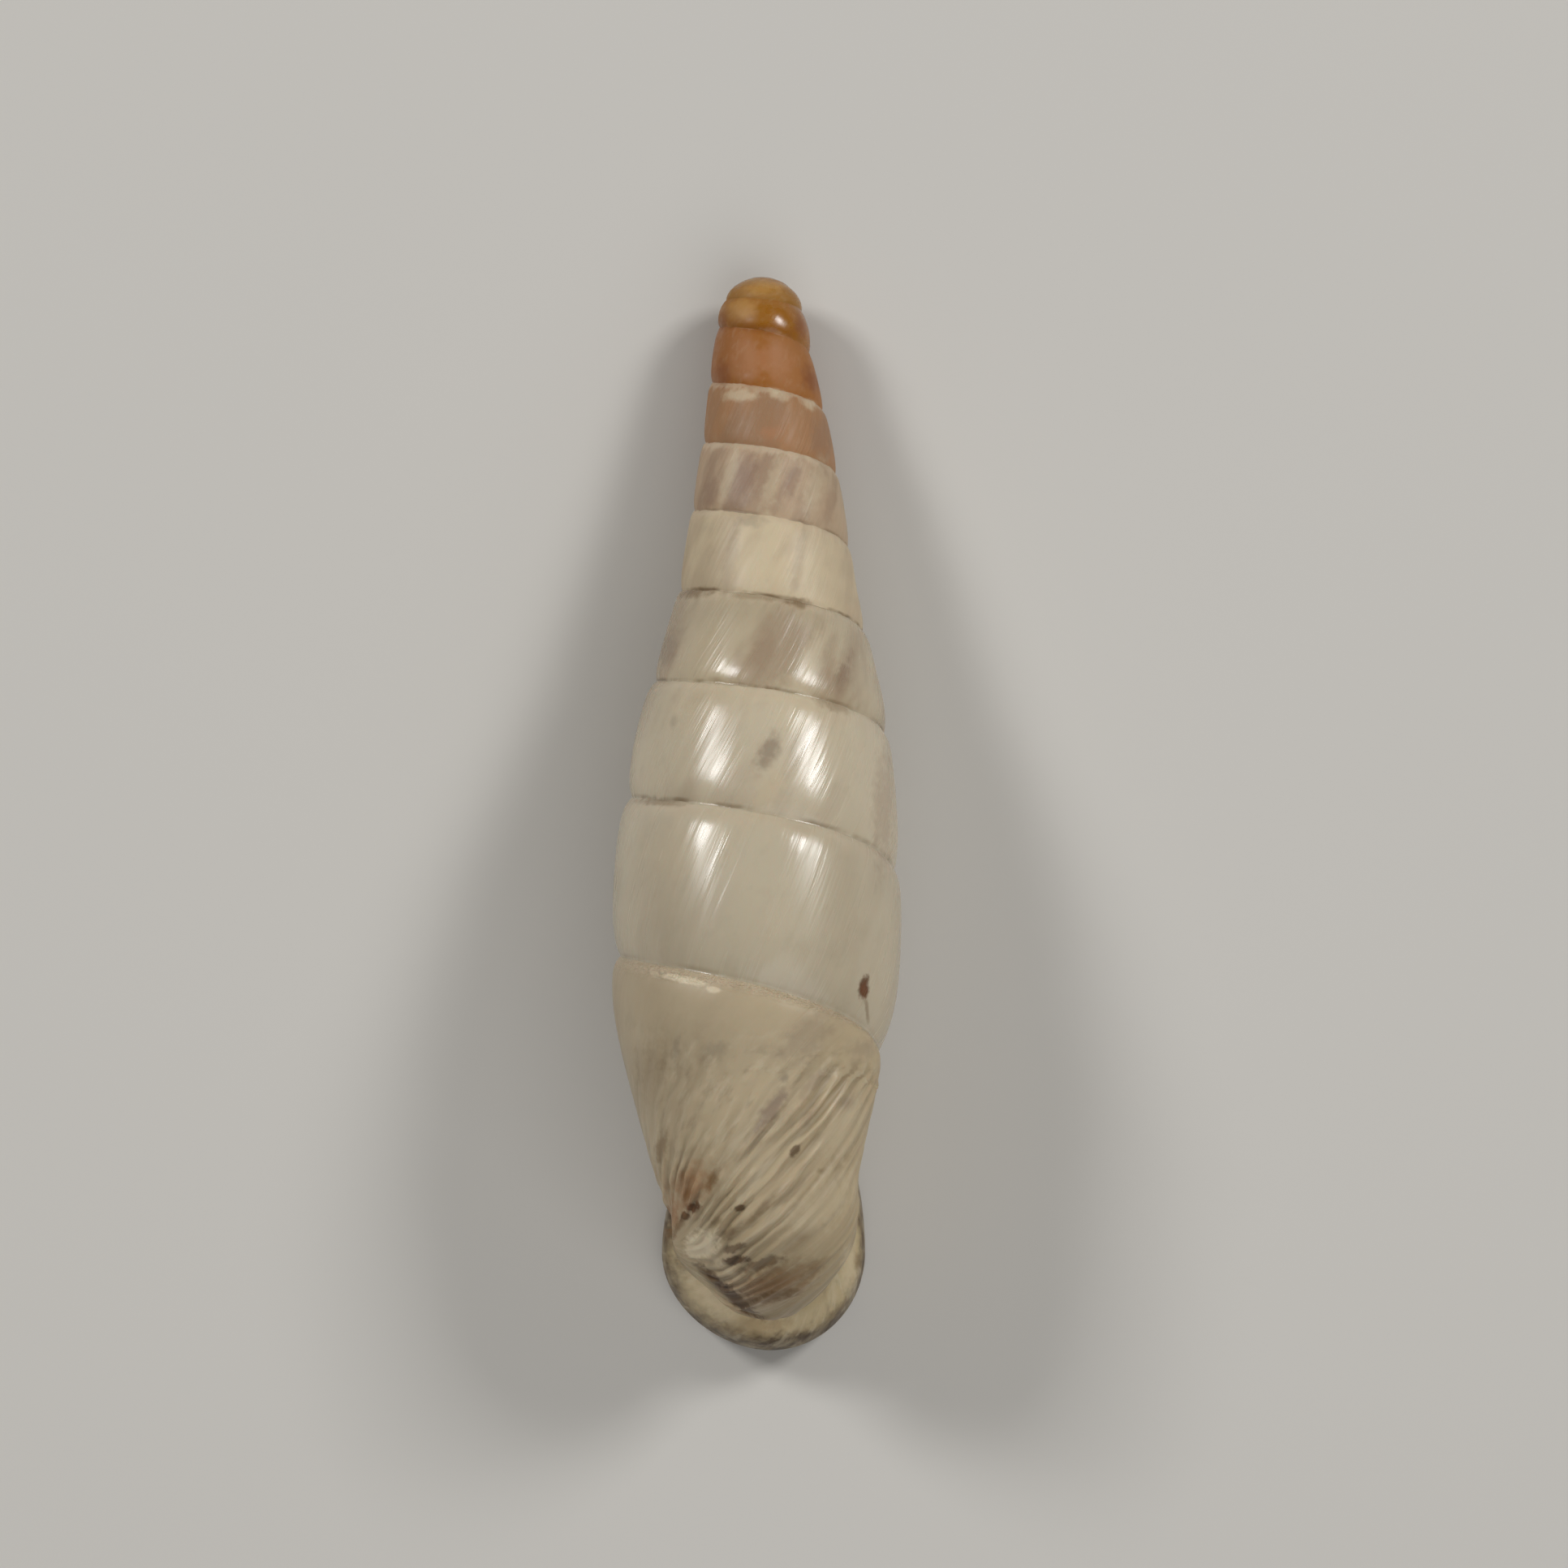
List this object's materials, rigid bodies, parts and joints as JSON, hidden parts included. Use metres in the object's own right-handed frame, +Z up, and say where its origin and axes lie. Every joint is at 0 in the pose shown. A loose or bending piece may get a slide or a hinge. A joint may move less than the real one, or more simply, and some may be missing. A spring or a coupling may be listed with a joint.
{
  "type": "door snail shell",
  "caption": "Slender spindle-shaped snail shell, coiled to the left, with a ribbed neck and a flared, pear-shaped mouth, lying mouth down.",
  "frame": {"origin": "centre of the shell's box at the surface that it lies on", "axes": "+Y along the shell towards the apex, +Z up through its back, +X across it"},
  "size_m": [0.0046, 0.017, 0.0048],
  "materials": {
    "shell": "satin, smooth and slightly glossy on the whorls, duller on the ribbed neck, with an amber tip"
  },
  "bodies": {
    "root": {"shell": "shell"}
  },
  "joints": []
}
